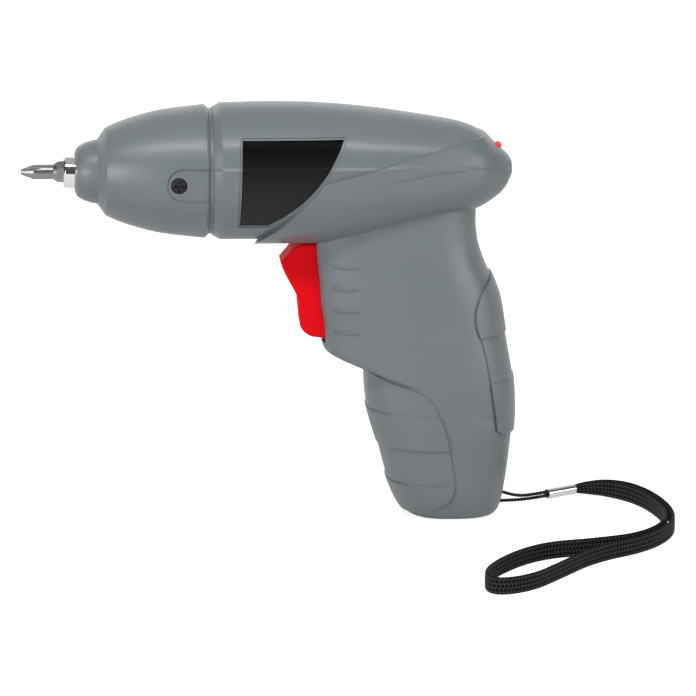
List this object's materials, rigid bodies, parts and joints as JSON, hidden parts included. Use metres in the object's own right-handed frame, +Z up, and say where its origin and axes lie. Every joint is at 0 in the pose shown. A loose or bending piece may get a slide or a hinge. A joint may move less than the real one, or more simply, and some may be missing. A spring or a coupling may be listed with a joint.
{
  "type": "electric screwdriver",
  "caption": "Pistol-grip cordless electric screwdriver with a red rocker trigger, planetary gearbox, hex bit holder with a cross-tip bit, and a wrist strap.",
  "frame": {"origin": "on the spindle axis, at the mouth of the bit holder", "axes": "+X runs back along the spindle from the bit to the rear of the barrel, +Z is up, +Y is to the right half of the housing"},
  "size_m": [0.2215, 0.137, 0.1436],
  "materials": {
    "bit_steel": "satin",
    "black_plastic": "matte",
    "black_screw": "black oxide",
    "board_green": "matte",
    "brass": "plain",
    "bronze": "sintered",
    "can_steel": "zinc plated",
    "card": "matte card",
    "cell_wrap": "film wrapped",
    "chrome": "polished",
    "copper": "lacquered",
    "cord_black": "twisted",
    "core_steel": "laminated",
    "ferrite": "matte",
    "gear_nylon": "matte",
    "gear_steel": "sintered",
    "gear_white": "matte",
    "grey_plastic": "satin moulded",
    "label_black": "gloss",
    "light_red": "clear red",
    "magnet": "nickel plated",
    "nickel": "polished",
    "red_plastic": "semi gloss",
    "steel": "plain",
    "strap_black": "braided",
    "white_plastic": "matte"
  },
  "bodies": {
    "housing": {"battery_cell_1": "cell_wrap", "battery_cell_2": "cell_wrap", "battery_cell_3": "cell_wrap", "battery_cell_4": "cell_wrap", "battery_pads": "card", "battery_strips": "nickel", "charge_light": "light_red", "charge_socket": "black_plastic", "gear_case": "gear_nylon", "gear_case_cover": "gear_nylon", "housing_screws": "black_screw", "left_housing": "grey_plastic", "left_label_panel": "label_black", "light_board": "board_green", "motor_brushes": "brass", "motor_can": "can_steel", "motor_end_cap": "black_plastic", "motor_front_bush": "bronze", "motor_magnets": "ferrite", "motor_plate": "steel", "motor_rear_bush": "bronze", "motor_terminals": "brass", "nose_cone": "grey_plastic", "nose_screws": "black_screw", "right_housing": "grey_plastic", "right_label_panel": "label_black", "spindle_bush": "bronze", "strap_cord": "cord_black", "strap_ferrule": "nickel", "strap_pin": "steel", "switch_body": "black_plastic", "switch_terminals": "brass", "trigger_pin": "steel", "wrist_strap": "strap_black"},
    "output": {"spindle": "chrome", "bit_magnet": "magnet", "retaining_ring": "steel", "second_carrier": "gear_steel", "second_planet_pins": "steel"},
    "bit": {"driver_bit": "bit_steel"},
    "first_stage": {"first_carrier": "gear_steel", "second_sun": "gear_steel", "first_planet_pins": "steel"},
    "rotor": {"motor_shaft": "steel", "motor_pinion": "steel", "armature_core": "core_steel", "armature_windings": "copper", "commutator": "copper"},
    "trigger_rocker": {"trigger": "red_plastic"},
    "upper_push": {"upper_plunger": "white_plastic"},
    "lower_push": {"lower_plunger": "white_plastic"},
    "first_gear_1": {"first_planet_1": "gear_white"},
    "second_gear_1": {"second_planet_1": "gear_steel"},
    "first_gear_2": {"first_planet_2": "gear_white"},
    "second_gear_2": {"second_planet_2": "gear_steel"},
    "first_gear_3": {"first_planet_3": "gear_white"},
    "second_gear_3": {"second_planet_3": "gear_steel"}
  },
  "joints": [
    {"name": "spindle_spin", "type": "hinge", "parent": "housing", "child": "output", "pos_m": [0, 0, 0], "axis": [1, 0, 0], "continuous": true},
    {"name": "bit_pull", "type": "slide", "parent": "output", "child": "bit", "axis": [-1, 0, 0], "range_m": [0, 0.0107]},
    {"name": "first_stage_spin", "type": "hinge", "parent": "housing", "child": "first_stage", "pos_m": [0, 0, 0], "axis": [1, 0, 0], "continuous": true},
    {"name": "motor_spin", "type": "hinge", "parent": "housing", "child": "rotor", "pos_m": [0, 0, 0], "axis": [1, 0, 0], "continuous": true},
    {"name": "second_gear_1_spin", "type": "hinge", "parent": "output", "child": "second_gear_1", "pos_m": [0, 0, 0.00825], "axis": [1, 0, 0], "continuous": true},
    {"name": "second_gear_2_spin", "type": "hinge", "parent": "output", "child": "second_gear_2", "pos_m": [0, -0.00714, -0.00413], "axis": [1, 0, 0], "continuous": true},
    {"name": "second_gear_3_spin", "type": "hinge", "parent": "output", "child": "second_gear_3", "pos_m": [0, 0.00714, -0.00413], "axis": [1, 0, 0], "continuous": true},
    {"name": "first_gear_1_spin", "type": "hinge", "parent": "first_stage", "child": "first_gear_1", "pos_m": [0, 0, 0.00825], "axis": [1, 0, 0], "continuous": true},
    {"name": "first_gear_2_spin", "type": "hinge", "parent": "first_stage", "child": "first_gear_2", "pos_m": [0, -0.00714, -0.00413], "axis": [1, 0, 0], "continuous": true},
    {"name": "first_gear_3_spin", "type": "hinge", "parent": "first_stage", "child": "first_gear_3", "pos_m": [0, 0.00714, -0.00413], "axis": [1, 0, 0], "continuous": true},
    {"name": "trigger_rock", "type": "hinge", "parent": "housing", "child": "trigger_rocker", "pos_m": [0.0918, 0, -0.04266], "axis": [0, 1, 0], "range_deg": [-6, 6], "stiffness_Nm_per_rad": 0.7},
    {"name": "upper_plunger_push", "type": "slide", "parent": "housing", "child": "upper_push", "axis": [1, 0, 0], "range_m": [-0.00096, 0.00096]},
    {"name": "lower_plunger_push", "type": "slide", "parent": "housing", "child": "lower_push", "axis": [1, 0, 0], "range_m": [-0.00096, 0.00096]}
  ],
  "couplings": [
    {"joint": "first_stage_spin", "follows": "spindle_spin", "ratio": 6.6667},
    {"joint": "motor_spin", "follows": "spindle_spin", "ratio": 44.444},
    {"joint": "second_gear_1_spin", "follows": "spindle_spin", "ratio": -2.4286},
    {"joint": "second_gear_2_spin", "follows": "spindle_spin", "ratio": -2.4286},
    {"joint": "second_gear_3_spin", "follows": "spindle_spin", "ratio": -2.4286},
    {"joint": "first_gear_1_spin", "follows": "spindle_spin", "ratio": -16.19},
    {"joint": "first_gear_2_spin", "follows": "spindle_spin", "ratio": -16.19},
    {"joint": "first_gear_3_spin", "follows": "spindle_spin", "ratio": -16.19},
    {"joint": "upper_plunger_push", "follows": "trigger_rock", "m_per_rad": 0.009},
    {"joint": "lower_plunger_push", "follows": "trigger_rock", "m_per_rad": -0.009}
  ]
}
